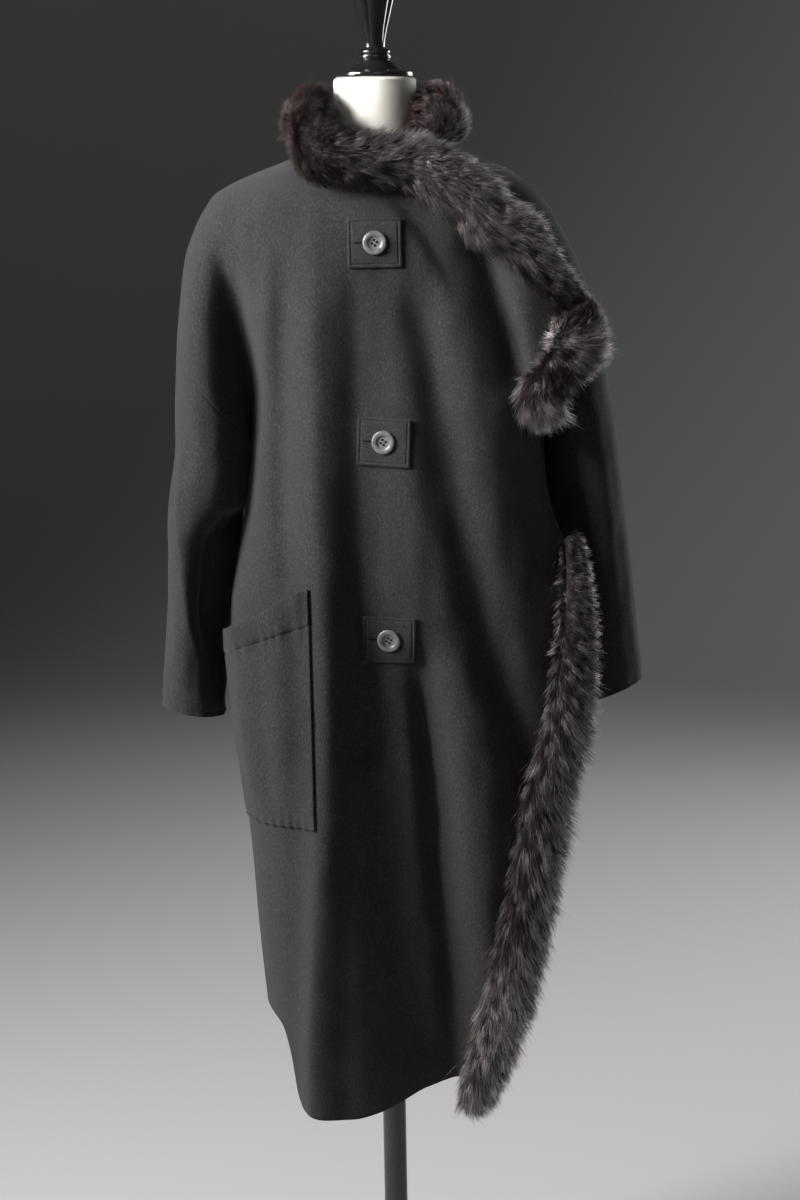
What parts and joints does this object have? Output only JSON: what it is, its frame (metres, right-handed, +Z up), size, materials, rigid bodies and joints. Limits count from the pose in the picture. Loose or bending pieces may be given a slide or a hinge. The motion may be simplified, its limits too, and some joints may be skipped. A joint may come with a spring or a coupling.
{
  "type": "wool coat on a dress form",
  "caption": "Charcoal wool coat with a wrapped front edged in fur, a patch pocket and button tabs, hanging on a limbless dress form with a round stand.",
  "frame": {"origin": "centre of the stand base's underside, on the floor; the pole's axis is the Z axis", "axes": "+Z up; the coat's front faces -Y; +X is the wearer's left"},
  "size_m": [0.5881, 0.38, 1.7223],
  "materials": {
    "wool": "thick napped charcoal wool",
    "fur": "long hair, dark brown at the root and grey at the tip",
    "button": "grey, polished, dished with a raised rim",
    "linen": "smooth cream canvas, stretched tight",
    "lacquer": "turned and lacquered black, high gloss",
    "black_metal": "black enamel, semi-gloss"
  },
  "bodies": {
    "root": {"back": "wool", "front_right": "wool", "front_left": "wool", "sleeve_right": "wool", "sleeve_left": "wool", "pocket": "wool", "tab_1": "wool", "tab_2": "wool", "tab_3": "wool", "button_1": "button", "button_2": "button", "button_3": "button", "fur_collar": "fur", "fur_front_upper": "fur", "fur_front_turned": "fur", "fur_front_lower": "fur", "form_torso": "linen", "form_neck": "linen", "form_finial": "lacquer", "stand_pole": "black_metal", "stand_base": "black_metal"}
  },
  "joints": []
}
